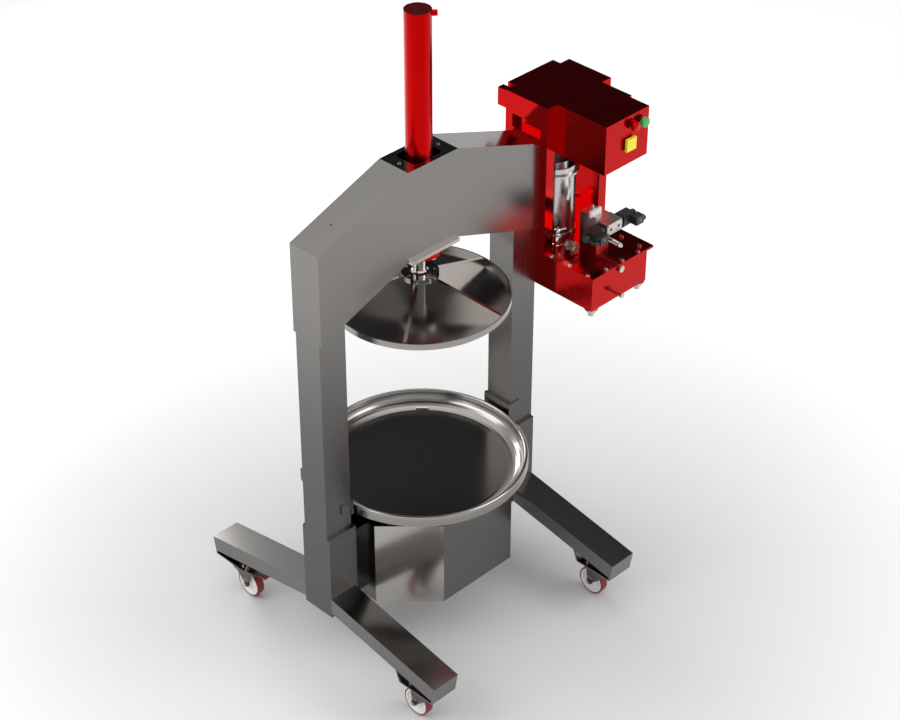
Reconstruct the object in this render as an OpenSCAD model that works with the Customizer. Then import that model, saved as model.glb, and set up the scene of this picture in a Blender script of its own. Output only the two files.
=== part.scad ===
// Hydraulic fruit press on castors: portal frame, ram with press plate, juice tray and power unit.
// The origin is on the floor under the ram, +X towards the power unit, -Y towards the user.

/* [Portal frame] */
// Width over the two uprights
frame_w = 900; // [820:10:1000]
// Side of the square upright tube
tube = 100; // [80:5:120]
// Wall of the upright tube
tube_wall = 5; // [3:0.5:8]
// Height of the uprights' lower ends above the floor
foot_z = 205; // [195:5:240]
// Height of the head's lower side corners
head_low_z = 1227; // [1180:1:1260]
// Height of the head's upper side corners
shoulder_z = 1526; // [1500:1:1560]
// Slope of the head's shoulders, in degrees
shoulder_angle = 20; // [16:1:22]
// Width of the head's flat top
crown_w = 200; // [180:5:240]
// Thickness of the head plates
head_plate_t = 9; // [6:0.5:12]
// Thickness of the roof sheet
roof_t = 3; // [2:0.5:5]
// Length of the roof opening along the head
roof_hole_l = 114; // [100:2:130]
// Corner radius of the roof opening
roof_hole_r = 18; // [8:1:30]
// Distance of the roof screws from the ram axis
roof_screw_x = 78; // [70:1:85]
// Distance of the lifting holes in the shoulders from the ram axis
lift_hole_x = 345; // [200:5:380]

/* [Feet and legs] */
// Thickness of the sleeve round each upright's foot
sleeve_t = 10; // [6:1:14]
// Height of the sleeve's top
sleeve_top_z = 511; // [480:1:540]
// Reach of the legs to the front and to the rear
leg_reach = 510; // [480:5:600]
// Height of the leg's top where it meets the sleeve
leg_top_z = 278; // [270:1:285]
// Slope of the legs, in degrees
leg_angle = 10; // [8:0.5:11]
// Depth of the leg's side walls
leg_depth = 54; // [45:1:60]
// Sheet thickness of the legs
leg_t = 4; // [3:0.5:6]
// Length of the castor bracket's level part, inward from the swivel axis
bracket_in = 68; // [58:1:98]

/* [Castors] */
// Height of the castor over all
castor_h = 133; // [128:1:140]
// Wheel diameter
wheel_d = 98; // [90:1:102]
// Wheel width
wheel_w = 28; // [24:1:32]
// Distance of the swivel axis from the leg's end
swivel_in = 82; // [75:1:90]
// Trail of the wheel axle behind the swivel axis
trail = 37; // [30:1:42]
// Sheet thickness of the fork
fork_t = 3; // [2:0.5:4]
// Diameter of the axle
axle_d = 10; // [8:1:14]
// Diameter of the king pin
king_pin_d = 12; // [10:1:16]
// Length of the brake pedal
pedal_l = 58; // [45:1:70]

/* [Base and tray] */
// Gap between the eight-sided casing and each upright
casing_gap = 50; // [40:5:80]
// Half width of the casing
casing_y = 250; // [220:5:280]
// Corner cut of the casing
casing_cut = 150; // [100:5:170]
// Sheet thickness of the casing
casing_t = 3; // [2:0.5:5]
// Height of the casing's top
casing_top_z = 507; // [480:1:515]
// Height of the tray's floor
tray_floor_z = 534; // [525:1:545]
// Width of the tray's curved wall with its rim
tray_wall_w = 66; // [36:1:70]
// Gap between the tray's rim and each upright
tray_gap = 14; // [12:1:20]
// Height of the tray from its floor to the rim
tray_h = 48; // [40:1:60]
// Width of the rolled rim
tray_rim_w = 14; // [10:1:20]
// Sheet thickness of the tray
tray_t = 3; // [2:0.5:4]
// Width of the juice outlet
outlet_w = 42; // [30:1:60]
// Height of the juice outlet
outlet_h = 3; // [2:0.5:14]

/* [Cylinder and ram] */
// Outer diameter of the barrel
barrel_d = 80; // [76:1:84]
// Bore of the barrel
bore_d = 63; // [56:1:66]
// Height of the barrel's top
barrel_top_z = 2110; // [2090:5:2200]
// Diameter of the cylinder's flange
flange_d = 140; // [134:1:150]
// Thickness of the cylinder's flange
flange_t = 15; // [12:1:24]
// Thickness of the mounting plate
mount_plate_t = 11; // [8:1:16]
// Depth to which the mounting plate sits in the head plates
mount_inset = 2.2; // [1:0.1:8]
// Side reach of the mounting plate
mount_plate_x = 97; // [90:1:110]
// Front and rear reach of the mounting plate
mount_plate_y = 71; // [68:1:90]
// Diameter of the piston rod
rod_d = 40; // [34:1:44]
// Gap between the flange and the rod's disc with the ram up
ram_gap = 75; // [60:1:90]
// Diameter of the rod's disc
disc_d = 115; // [110:1:130]
// Thickness of the rod's disc
disc_t = 17; // [12:1:22]
// Number of bolts in the rod's disc, and of ribs
rib_count = 5; // [4:1:6]
// Diameter of the hub tube
hub_d = 53; // [50:1:60]
// Length of the hub tube
hub_l = 78; // [70:1:90]
// Diameter of the press plate
dish_d = 549; // [520:1:556]
// Height of the press plate's rim
dish_h = 20; // [16:1:26]
// Sheet thickness of the press plate
dish_t = 4; // [3:0.5:6]
// Thickness of the ribs
rib_t = 11; // [8:1:14]

/* [Power unit] */
// Length of the tank lid
lid_l = 280; // [270:2:300]
// Height of the tank lid's top
lid_top_z = 1146; // [1140:1:1160]
// Thickness of the tank lid
lid_t = 8; // [6:1:10]
// Length of the oil tank
tank_l = 252; // [248:2:262]
// Front reach of the oil tank
tank_front_y = 288; // [284:2:296]
// Rear reach of the oil tank
tank_rear_y = 88; // [84:1:96]
// Depth of the oil tank
tank_h = 110; // [104:1:125]
// Depth of the columns' flanges
column_d = 34; // [34:1:40]
// Half width of the columns
column_y = 86; // [82:1:90]
// Sheet thickness of the red covers
cover_t = 3; // [2:0.5:4]
// Height of the seam between columns and hood
seam_z = 1379; // [1360:1:1400]
// Height of the hood's top
hood_top_z = 1654; // [1640:1:1680]
// Height of the hood's lower edge
hood_low_z = 1490; // [1460:1:1500]
// Length of the hood's middle block
hood_l = 200; // [190:2:202]
// Front reach of the hood
hood_front_y = 203; // [195:1:210]
// Rear reach of the hood
hood_rear_y = 117; // [100:1:125]
// Length of the control cover
control_l = 190; // [180:2:196]
// Depth of the control cover
control_d = 79; // [70:1:85]
// Corner radius of the control cover
control_r = 8; // [4:1:14]
// Diameter of the round buttons
button_d = 32; // [26:1:36]
// Side of the square switch
switch_side = 41; // [34:1:46]
// Diameter of the motor
motor_d = 126; // [110:1:130]
// Height of the motor
motor_h = 243; // [220:1:260]
// Number of pump gear teeth
gear_teeth = 10; // [10:1:12]
// Tooth module of the pump gears
gear_module = 3; // [2.5:0.1:3]

/* [Clearances] */
// Gap at sliding and turning fits, on the radius
run_gap = 0.05; // [0.02:0.01:0.1]
// Gap between parts that pass each other
free_gap = 0.3; // [0.2:0.05:0.5]
// Gap round bolts, on the radius
bolt_gap = 0.2; // [0.1:0.05:0.4]

/* [Hidden] */
$fn = 64;
e = 1; // cutters reach this much past the faces they cut

half_w = frame_w / 2;
tube_h = tube / 2;
upright_x = half_w - tube_h;
inner_x = half_w - tube;
casing_x = inner_x - casing_gap;
tray_rim_r = inner_x - tray_gap;
tray_floor_r = tray_rim_r - tray_wall_w;
swivel_y = leg_reach - swivel_in;
bracket_in_y = swivel_y - bracket_in;
head_y = tube_h + head_plate_t;
slope = tan(shoulder_angle);
crown_x = crown_w / 2;
crown_z = shoulder_z + (half_w - crown_x) * slope;
notch_x = mount_plate_x + 2;
mount_top_z = head_low_z + (half_w - notch_x) * slope + mount_inset;
mount_low_z = mount_top_z - mount_plate_t;
flange_low_z = mount_low_z - flange_t;

barrel_r = barrel_d / 2;
bore_r = bore_d / 2;
rod_r = rod_d / 2;
gland_h = 40; // length of the gland inside the barrel
gland_top_z = mount_low_z + gland_h;
cap_h = 26; // height of the barrel's end cap
cap_spigot = 15; // length of the end cap inside the barrel
port_r = 6; // radius of the oil ports
port_boss_r = 9;
port_seat = 4; // depth of the upper port's bore in the end cap
port_reach = 55; // distance of the ports' faces from the ram axis
top_port_z = barrel_top_z - 12;
low_port_z = gland_top_z + 14;
piston_l = 45;
piston_top_z = barrel_top_z - cap_h - cap_spigot - 5;
piston_low_z = piston_top_z - piston_l;
rod_end_r = 15; // radius of the rod inside the piston

disc_top_z = flange_low_z - ram_gap;
disc_low_z = disc_top_z - disc_t;
disc_bolt_r = disc_d / 2 - 13.5;
disc_bolt_shank = 4;
disc_head_r = 6.5;
disc_head_t = 4;
dish_floor_z = disc_low_z - hub_l;
dish_r = dish_d / 2;
hub_r = hub_d / 2;
rib_flat_r = disc_d / 2 + 5;
rib_tip_r = dish_r - dish_t - 3;

leg_w = tube;
leg_run = leg_reach - tube_h - sleeve_t;
leg_start_y = tube_h + sleeve_t;
leg_len = leg_run / cos(leg_angle);
bracket_t = 4;
castor_x = upright_x;
plate_l = 105; // length of the castor's top plate
plate_w = 85;
plate_t = 5;
plate_z = castor_h - plate_t;
castor_bolt_x = 30;
castor_bolt_y = 40;
castor_bolt_r = 4;
race_r = 34; // radius of the swivel's ball race
race_h = 8;
crown_h = 17; // height of the fork's head
fork_top_z = plate_z - race_h - free_gap;
fork_plate_z = fork_top_z - crown_h;
wheel_r = wheel_d / 2;
axle_r = axle_d / 2;
king_r = king_pin_d / 2;
fork_in_x = wheel_w / 2 + 3;
fork_out_x = fork_in_x + fork_t;
pedal_pivot_y = trail + 29; // distance of the pedal's pin from the swivel axis
pedal_pivot_z = fork_plate_z;
pedal_pin_r = 3;
pedal_t = 3;
pad_l = 14; // length of the tread pad at the pedal's tip
pedal_rise = 15; // upward tilt of the resting pedal, in degrees
pedal_swing = 22; // turn that presses the shoe to the wheel, in degrees
shoe_gap_l = sqrt(pow(pedal_pivot_y - trail, 2) + pow(pedal_pivot_z - wheel_r, 2)) - wheel_r;
shoe_angle = atan2(pedal_pivot_z - wheel_r, pedal_pivot_y - trail);

casing_in = casing_t * (2 - sqrt(2));
tray_low_z = tray_floor_z - tray_t;
tray_top_z = tray_floor_z + tray_h;
tray_lip_z = tray_floor_z + 15; // height of the rim's outer lower edge
outlet_angle = 45;
clip_low_z = 556;
clip_top_z = 608;
clip_step = 22; // height of the clip's lower part
clip_out = 60; // distance of the clip's outer edge from the upright's outer face
lug_z = 694; // height of the round lug's centre
lug_r = 34;
lug_h = 33; // height of the lug above its centre
lug_t = 8;

unit_x = half_w + lid_l / 2;
lid_low_z = lid_top_z - lid_t;
lid_front_y = tank_front_y + 2;
lid_rear_y = tank_rear_y + 7;
tank_low_z = lid_low_z - tank_h;
tank_right_x = half_w + tank_l;
tank_t = 3;
lid_bolt_in = 7; // distance of the lid bolts from the tank's sides
lid_bolt_r = 4;
lid_bolt_pitch = 74;
level_x = 125; // place of the level plug from the tank's left side
level_z = lid_low_z - 7;
hood_x = hood_l / 2;
control_x0 = unit_x - hood_x;
control_face_y = -hood_front_y - control_d;
button_r = button_d / 2;
button_head_t = 14;
button_stem_r = 6;
button_travel = 3;
button_gap = 1.5; // gap left between the pressed button and its collar
collar_t = 2;
button_back_y = control_face_y - collar_t - button_travel - button_gap;
green_x = control_x0 + 157;
green_z = hood_top_z - 38;
red_x = control_x0 + 115;
red_z = hood_top_z - 34;
switch_x = control_x0 + 103;
switch_z = hood_top_z - 92;
switch_t = 10;
block_l = 34; // length of the contact blocks behind the cover

motor_r = motor_d / 2;
motor_top_z = lid_top_z + motor_h;
rotor_r = 30;
shaft_r = 8;
gear_r = gear_module * gear_teeth / 2;
gear_tip_r = gear_r + 0.8 * gear_module;
gear_root_r = gear_r - 1.05 * gear_module;
gear_c = 2 * gear_r + 0.2;
gear_w = 20;
gear_z = lid_low_z - 45;
pump_low_z = lid_low_z - 72;

plug_l = 34; // length of the coils' cable plugs
plug_side = 28;
plug_in_left = 8; // distance of the plug from the coil's inner end
plug_in_right = 30;
plug_gland_drop = 8;
plug_gland_l = 16;
relief_l = 92; // length of the relief valve's cartridge
manifold_x = unit_x + 28;
manifold_x0 = manifold_x - 24;
manifold_x1 = manifold_x + 32;
manifold_y0 = 174;
manifold_y1 = 103;
valve_low_z = lid_top_z + 66;
valve_l = 70;
valve_d = 50; // valve_y0 less the manifold's front
valve_h = 38;
manifold_top_z = valve_low_z + valve_h;
valve_y0 = 224;
valve_axis_y = 207;
valve_axis_z = valve_low_z + 20;
spool_r = 6;
spool_travel = 3;
valve_x0 = manifold_x - valve_l / 2;
valve_x1 = manifold_x + valve_l / 2;
coil_side = 36;
coil_l = 50;
coil_gap_left = 18;
coil_gap_right = 5;
valve_port_r = 5;
valve_port_d = 9;

// Extrudes an outline drawn in X and Z from y0 to y1.
module along_y(y0, y1) {
    translate([0, y1, 0]) rotate([90, 0, 0]) linear_extrude(y1 - y0) children();
}

// Extrudes an outline drawn in Y and Z from x0 to x1.
module along_x(x0, x1) {
    translate([x0, 0, 0]) rotate([90, 0, 90]) linear_extrude(x1 - x0) children();
}

// A box given by two opposite corners.
module span(a, b) {
    translate([min(a[0], b[0]), min(a[1], b[1]), min(a[2], b[2])])
        cube([abs(b[0] - a[0]), abs(b[1] - a[1]), abs(b[2] - a[2])]);
}

// The same piece on the left and on the right of the middle.
module both_sides() {
    children();
    mirror([1, 0, 0]) children();
}

// The same piece at all four corners.
module four_corners() {
    both_sides() {
        children();
        mirror([0, 1, 0]) children();
    }
}

// A hexagon bolt along +Z: its head's lower face is at z = 0, and the shank goes down.
module hex_bolt(shank_r, shank_l, head_r, head_h) {
    cylinder(r = head_r, h = head_h, $fn = 6);
    translate([0, 0, -shank_l]) cylinder(r = shank_r, h = shank_l);
}

// Height of the head's lower edge at distance x from the middle.
function low_edge(x) = head_low_z + (half_w - x) * slope;

// Portal frame

// Outline of the head's top, lowered square to its faces by drop.
function roof_points(drop, x_end) = let (
    side_z = shoulder_z - drop / cos(shoulder_angle),
    top_x = crown_x - drop * (1 / cos(shoulder_angle) - 1) / slope
) [
    [x_end, side_z - (x_end - half_w) * slope],
    [top_x, crown_z - drop],
    [-top_x, crown_z - drop],
    [-x_end, side_z - (x_end - half_w) * slope]
];

module uprights() {
    color("dimgray") intersection() {
        both_sides() difference() {
            span([inner_x, -tube_h, foot_z], [half_w, tube_h, crown_z]);
            span([inner_x + tube_wall, -tube_h + tube_wall, foot_z - e],
                [half_w - tube_wall, tube_h - tube_wall, crown_z + e]);
        }
        along_y(-tube, tube) polygon(concat(
            roof_points(roof_t, half_w + e), [[-half_w - e, 0], [half_w + e, 0]]));
    }
}

module head_plate(y0, y1) {
    along_y(y0, y1) polygon(concat(roof_points(roof_t, half_w), [
        [-half_w, head_low_z], [-notch_x, low_edge(notch_x)], [-notch_x, mount_top_z],
        [notch_x, mount_top_z], [notch_x, low_edge(notch_x)], [half_w, head_low_z]
    ]));
}

module head_front_plate() {
    color("gray") head_plate(-head_y, -tube_h);
}

module head_rear_plate() {
    color("gray") head_plate(tube_h, head_y);
}

module roof_opening() {
    hole_x = roof_hole_l / 2 - roof_hole_r;
    hole_y = barrel_r + 2 - roof_hole_r;
    for (sx = [-1, 1], sy = [-1, 1])
        translate([sx * hole_x, sy * hole_y, 0]) cylinder(r = roof_hole_r, h = tube);
    span([-hole_x, -hole_y - roof_hole_r, 0], [hole_x, hole_y + roof_hole_r, tube]);
    span([-hole_x - roof_hole_r, -hole_y, 0], [hole_x + roof_hole_r, hole_y, tube]);
}

module head_roof() {
    color("gray") difference() {
        along_y(-head_y, head_y) polygon(concat(roof_points(0, half_w), [
            for (i = [3, 2, 1, 0]) roof_points(roof_t, half_w)[i]
        ]));
        translate([0, 0, crown_z - tube_h]) roof_opening();
        both_sides() {
            translate([roof_screw_x, 0, crown_z - tube_h]) cylinder(r = 3 + bolt_gap, h = tube);
            translate([lift_hole_x, 0, shoulder_z - tube]) cylinder(r = 3, h = 3 * tube);
        }
    }
}

module foot_sleeves() {
    color("gray") both_sides() difference() {
        span([inner_x - sleeve_t, -leg_start_y, foot_z], [half_w, leg_start_y, sleeve_top_z]);
        span([inner_x, -tube_h, foot_z - e], [half_w + e, tube_h, sleeve_top_z + e]);
    }
}

// Point at run s along the leg's top face and depth d square to it, in Y and Z.
function leg_point(s, d) = [
    leg_start_y + s * cos(leg_angle) - d * sin(leg_angle),
    leg_top_z - s * sin(leg_angle) - d * cos(leg_angle)
];

// Depth at run s where the leg's end plate reaches height z.
function leg_depth_at(s, z) = (leg_top_z - s * sin(leg_angle) - z) / cos(leg_angle);

leg_foot_z = castor_h + bracket_t;
leg_end_in = leg_len - leg_t;

module leg() {
    difference() {
        along_x(inner_x, half_w) polygon([
            [leg_start_y, leg_top_z], leg_point(leg_len, 0),
            leg_point(leg_len, leg_depth_at(leg_len, leg_foot_z)),
            leg_point(leg_end_in, leg_depth_at(leg_end_in, leg_foot_z)),
            leg_point(leg_end_in, leg_depth),
            [leg_start_y, leg_top_z - leg_depth / cos(leg_angle)]
        ]);
        along_x(inner_x + leg_t, half_w - leg_t) polygon([
            [leg_start_y - e, leg_top_z - leg_t / cos(leg_angle)], leg_point(leg_end_in, leg_t),
            leg_point(leg_end_in, leg_depth + e), [leg_start_y - e, leg_top_z - leg_depth - 3 * e]
        ]);
    }
}

module legs() {
    color("gray") four_corners() leg();
}

// A bent sheet under the leg's end: a level seat for the castor and a flange up to the side walls.
module castor_bracket() {
    rise_y = 25;
    rise_z = 60;
    seat_end = leg_point(leg_len, leg_depth_at(leg_len, leg_foot_z))[0];
    intersection() {
        along_x(inner_x, half_w) polygon([
            [seat_end, castor_h], [seat_end, leg_foot_z], [bracket_in_y + 2, leg_foot_z],
            [bracket_in_y + 2 - rise_y, leg_foot_z + rise_z],
            [bracket_in_y - 2.7 - rise_y, leg_foot_z + rise_z], [bracket_in_y - 2.7, castor_h]
        ]);
        along_x(inner_x, half_w) polygon([
            [leg_start_y, 0], [leg_start_y, leg_top_z - leg_depth / cos(leg_angle)],
            leg_point(leg_len + leg_depth, leg_depth), [leg_reach + tube, 0]
        ]);
    }
}

module castor_bolt_places() {
    for (bx = [-1, 1], by = [-1, 1])
        translate([castor_x + bx * castor_bolt_x, swivel_y + by * castor_bolt_y, 0]) children();
}

module castor_brackets() {
    color("gray") four_corners() difference() {
        castor_bracket();
        castor_bolt_places() cylinder(r = castor_bolt_r + bolt_gap, h = castor_h + bracket_t + e);
    }
}

// Bolts of the castors, of the cylinder flange and of the roof.
cylinder_bolt_pcd = barrel_d + 34;
cylinder_bolt_count = 6;

module frame_bolts() {
    color("silver") {
        four_corners() castor_bolt_places() {
            translate([0, 0, plate_z]) mirror([0, 0, 1])
                hex_bolt(castor_bolt_r, plate_t + bracket_t + 1, 7.2, 5);
            translate([0, 0, leg_foot_z]) cylinder(r = 7.2, h = 6.5, $fn = 6);
        }
        for (i = [0 : cylinder_bolt_count - 1])
            rotate([0, 0, (i + 0.5) * 360 / cylinder_bolt_count])
                translate([cylinder_bolt_pcd / 2, 0, flange_low_z]) mirror([0, 0, 1])
                    hex_bolt(5, flange_t + mount_plate_t, 9.5, 8);
        both_sides() translate([roof_screw_x, 0, crown_z]) {
            cylinder(r = 5, h = 2.5);
            translate([0, 0, -roof_t - 6]) cylinder(r = 3, h = roof_t + 6);
            translate([0, 0, -roof_t - 5]) cylinder(r = 5.8, h = 5, $fn = 6);
        }
    }
}

module tray_clips() {
    color("gray") both_sides() {
        span([inner_x - sleeve_t, -tube_h - 4, clip_low_z], [inner_x, tube_h + 6, clip_top_z]);
        span([inner_x - sleeve_t, -tube_h - 4, clip_low_z + clip_step], [half_w - clip_out, -tube_h, clip_top_z]);
        along_y(tube_h, tube_h + lug_t) union() {
            translate([half_w - lug_r, lug_z]) circle(r = lug_r);
            translate([half_w - 2 * lug_r, lug_z]) square([2 * lug_r, lug_h]);
        }
    }
}

// Base and tray

module eight_sides(grow) {
    hx = casing_x + grow;
    hy = casing_y + grow;
    cut = casing_cut + grow * (2 - sqrt(2));
    polygon([
        [hx, hy - cut], [hx - cut, hy], [cut - hx, hy], [-hx, hy - cut],
        [-hx, cut - hy], [cut - hx, -hy], [hx - cut, -hy], [hx, cut - hy]
    ]);
}

module casing() {
    color("gray") difference() {
        translate([0, 0, foot_z]) linear_extrude(casing_top_z - foot_z) eight_sides(0);
        translate([0, 0, foot_z - e])
            linear_extrude(casing_top_z - casing_t - foot_z + e) eight_sides(-casing_t);
    }
}

// Side plates that carry the casing on the sleeves, and the bars under the tray.
module casing_brackets() {
    plate_y = 40;
    plate_t = 10;
    bar_y = 110;
    bar_w = 40;
    color("gray") {
        both_sides() for (sy = [-1, 1])
            span([casing_x, sy * plate_y - plate_t / 2, foot_z + 25],
                [inner_x - sleeve_t, sy * plate_y + plate_t / 2, casing_top_z - 30]);
        for (sy = [-1, 1])
            span([30 - casing_x, sy * bar_y - bar_w / 2, casing_top_z],
                [casing_x - 30, sy * bar_y + bar_w / 2, tray_low_z]);
    }
}

// Half section of the tray: floor, hollow wall, and the sheet rolled over at the rim and down.
module tray_section() {
    wall_top_r = tray_rim_r - tray_rim_w;
    bend_r = wall_top_r - tray_floor_r;
    bend_h = tray_h - tray_rim_w / 2;
    roll_r = tray_rim_w / 2;
    roll_x = wall_top_r + roll_r;
    roll_z = tray_top_z - roll_r;
    steps = 9;
    inner = [for (i = [0 : steps]) let (a = 90 * i / steps)
        [tray_floor_r + bend_r * sin(a), tray_floor_z + bend_h * (1 - cos(a))]];
    over = [for (i = [1 : steps]) let (a = 180 - 180 * i / steps)
        [roll_x + roll_r * cos(a), roll_z + roll_r * sin(a)]];
    under = [for (i = [0 : steps - 1]) let (a = 180 * i / steps)
        [roll_x + (roll_r - tray_t) * cos(a), roll_z + (roll_r - tray_t) * sin(a)]];
    outer = [for (i = [steps : -1 : 0]) let (a = 90 * i / steps)
        [tray_floor_r + (bend_r + tray_t) * sin(a), tray_low_z + (bend_h + tray_t) * (1 - cos(a))]];
    lip = [[tray_rim_r, tray_lip_z], [tray_rim_r - tray_t, tray_lip_z]];
    polygon(concat([[0, tray_low_z], [0, tray_floor_z]], inner, over, lip, under, outer));
}

module tray() {
    color("gray") difference() {
        rotate_extrude($fn = 128) tray_section();
        rotate([0, 0, outlet_angle])
            span([tray_floor_r + e, -outlet_w / 2, tray_floor_z],
                [tray_rim_r + e, outlet_w / 2, tray_floor_z + outlet_h]);
    }
}

// Cylinder and ram

module cylinder_bolt_holes(z, h) {
    for (i = [0 : cylinder_bolt_count - 1])
        rotate([0, 0, (i + 0.5) * 360 / cylinder_bolt_count])
            translate([cylinder_bolt_pcd / 2, 0, z - e]) cylinder(r = 5 + bolt_gap, h = h + 2 * e);
}

module mounting_plate() {
    color("gray") difference() {
        span([-mount_plate_x, -mount_plate_y, mount_low_z], [mount_plate_x, mount_plate_y, mount_top_z]);
        translate([0, 0, mount_low_z - e]) cylinder(r = barrel_r + bolt_gap, h = mount_plate_t + 2 * e);
        cylinder_bolt_holes(mount_low_z, mount_plate_t);
    }
}

module cylinder_gland() {
    color("firebrick") difference() {
        union() {
            translate([0, 0, flange_low_z]) cylinder(d = flange_d, h = flange_t);
            translate([0, 0, mount_low_z]) cylinder(r = bore_r, h = gland_h);
        }
        translate([0, 0, flange_low_z - e])
            cylinder(r = rod_r + run_gap, h = flange_t + gland_h + 2 * e);
        cylinder_bolt_holes(flange_low_z, flange_t);
    }
}

module barrel() {
    color("firebrick") difference() {
        translate([0, 0, mount_low_z]) cylinder(r = barrel_r, h = barrel_top_z - cap_h - mount_low_z);
        translate([0, 0, mount_low_z - e]) cylinder(r = bore_r, h = barrel_top_z - mount_low_z);
        translate([0, 0, low_port_z]) rotate([0, 90, 0]) cylinder(r = port_r, h = barrel_d);
    }
}

module barrel_cap() {
    color("firebrick") difference() {
        union() {
            translate([0, 0, barrel_top_z - cap_h]) cylinder(r = barrel_r, h = cap_h);
            translate([0, 0, barrel_top_z - cap_h - cap_spigot]) cylinder(r = bore_r, h = cap_spigot + e);
        }
        translate([0, 0, barrel_top_z - cap_h - cap_spigot - e])
            cylinder(r = 6, h = cap_spigot + top_port_z - barrel_top_z + cap_h + 6);
        translate([0, 0, top_port_z]) rotate([0, 90, -45]) {
            cylinder(r = 4, h = barrel_d);
            translate([0, 0, barrel_r - port_seat]) cylinder(r = port_r, h = barrel_r);
        }
    }
}

module port_boss(z, turn) {
    difference() {
        translate([0, 0, z]) rotate([0, 90, turn]) cylinder(r = port_boss_r, h = port_reach);
        translate([0, 0, z - barrel_d]) cylinder(r = barrel_r, h = 2 * barrel_d);
        translate([0, 0, z]) rotate([0, 90, turn]) cylinder(r = port_r, h = port_reach + e);
    }
}

module oil_ports() {
    color("firebrick") {
        port_boss(top_port_z, -45);
        port_boss(low_port_z, 0);
    }
}

module piston() {
    color("silver") difference() {
        translate([0, 0, piston_low_z]) cylinder(r = bore_r - run_gap, h = piston_l);
        translate([0, 0, piston_low_z - e]) cylinder(r = rod_end_r, h = piston_l + 2 * e);
        for (z = [12, 28]) translate([0, 0, piston_low_z + z]) difference() {
            cylinder(r = bore_r + e, h = 5);
            translate([0, 0, -e]) cylinder(r = bore_r - 3, h = 5 + 2 * e);
        }
    }
}

module piston_rod() {
    color("silver") {
        translate([0, 0, disc_low_z]) cylinder(r = rod_r, h = piston_low_z - disc_low_z);
        translate([0, 0, piston_low_z - e]) cylinder(r = rod_end_r, h = piston_l + e);
    }
}

module disc_bolt_places() {
    for (i = [0 : rib_count - 1])
        rotate([0, 0, (i + 0.5) * 360 / rib_count]) translate([disc_bolt_r, 0, 0]) children();
}

disc_flange_t = disc_t / 2;

module rod_disc() {
    color("gray") difference() {
        translate([0, 0, disc_low_z + disc_flange_t]) cylinder(d = disc_d, h = disc_t - disc_flange_t);
        translate([0, 0, disc_low_z]) cylinder(r = rod_r, h = disc_t + e);
        disc_bolt_places() {
            translate([0, 0, disc_low_z]) cylinder(r = disc_bolt_shank + bolt_gap, h = disc_t + e);
            translate([0, 0, disc_top_z - disc_head_t])
                cylinder(r = disc_head_r + bolt_gap, h = disc_head_t + e);
        }
    }
}

module disc_bolts() {
    color("silver") disc_bolt_places() translate([0, 0, disc_top_z]) {
        translate([0, 0, -disc_head_t]) difference() {
            cylinder(r = disc_head_r, h = disc_head_t);
            translate([0, 0, 1.5]) cylinder(r = 3, h = disc_head_t, $fn = 6);
        }
        translate([0, 0, -disc_t]) cylinder(r = disc_bolt_shank, h = disc_t - disc_head_t);
    }
}

module hub() {
    color("gray") difference() {
        union() {
            translate([0, 0, dish_floor_z]) cylinder(r = hub_r, h = hub_l);
            translate([0, 0, disc_low_z]) cylinder(d = disc_d, h = disc_flange_t);
        }
        translate([0, 0, dish_floor_z - e]) cylinder(r = hub_r - 5, h = hub_l - 10);
        translate([0, 0, disc_low_z]) cylinder(r = rod_r, h = disc_t);
        disc_bolt_places() translate([0, 0, disc_low_z - e])
            cylinder(r = disc_bolt_shank + bolt_gap, h = disc_t);
    }
}

module press_dish() {
    color("dimgray") difference() {
        translate([0, 0, dish_floor_z - dish_t]) cylinder(r = dish_r, h = dish_h, $fn = 128);
        translate([0, 0, dish_floor_z]) cylinder(r = dish_r - dish_t, h = dish_h, $fn = 128);
    }
}

module press_ribs() {
    color("gray") for (i = [0 : rib_count - 1]) rotate([0, 0, i * 360 / rib_count]) difference() {
        along_y(-rib_t / 2, rib_t / 2) polygon([
            [hub_r - 5, dish_floor_z], [dish_r - dish_t - e / 2, dish_floor_z],
            [dish_r - dish_t - e / 2, dish_floor_z + dish_h - dish_t + 1],
            [rib_tip_r, dish_floor_z + dish_h - dish_t + 1],
            [rib_flat_r, disc_low_z - 1], [hub_r - 5, disc_low_z - 1]
        ]);
        translate([0, 0, dish_floor_z - e]) cylinder(r = hub_r, h = hub_l + e);
    }
}

// Castors

module at_castor(sx, sy) {
    translate([sx * castor_x, sy * swivel_y, 0]) mirror([0, sy > 0 ? 1 : 0, 0]) children();
}

// Top plate with its king pin; the wheel trails towards +Y.
module castor_plate() {
    difference() {
        union() {
            span([-plate_w / 2, -plate_l / 2, plate_z], [plate_w / 2, plate_l / 2, castor_h]);
            translate([0, 0, plate_z - race_h]) cylinder(r = race_r, h = race_h + e);
            translate([0, 0, fork_plate_z - 3]) cylinder(r = king_r, h = crown_h + race_h);
            translate([0, 0, fork_plate_z - 3 - free_gap]) cylinder(r = king_r + 4, h = 3);
        }
        for (bx = [-1, 1], by = [-1, 1])
            translate([bx * castor_bolt_x, by * castor_bolt_y, plate_z - e])
                cylinder(r = castor_bolt_r + bolt_gap, h = plate_t + 2 * e);
    }
}

module castor_plates() {
    color("silver") for (sx = [-1, 1], sy = [-1, 1]) at_castor(sx, sy) castor_plate();
}

// Outline of one cheek, in Y and Z.
module cheek_outline() {
    polygon([
        [-22, fork_plate_z + fork_t], [trail + 16, fork_plate_z + fork_t],
        [trail + 11, wheel_r], [trail - 11, wheel_r], [-22, fork_plate_z - 8]
    ]);
    translate([trail, wheel_r]) circle(r = 11);
}

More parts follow.
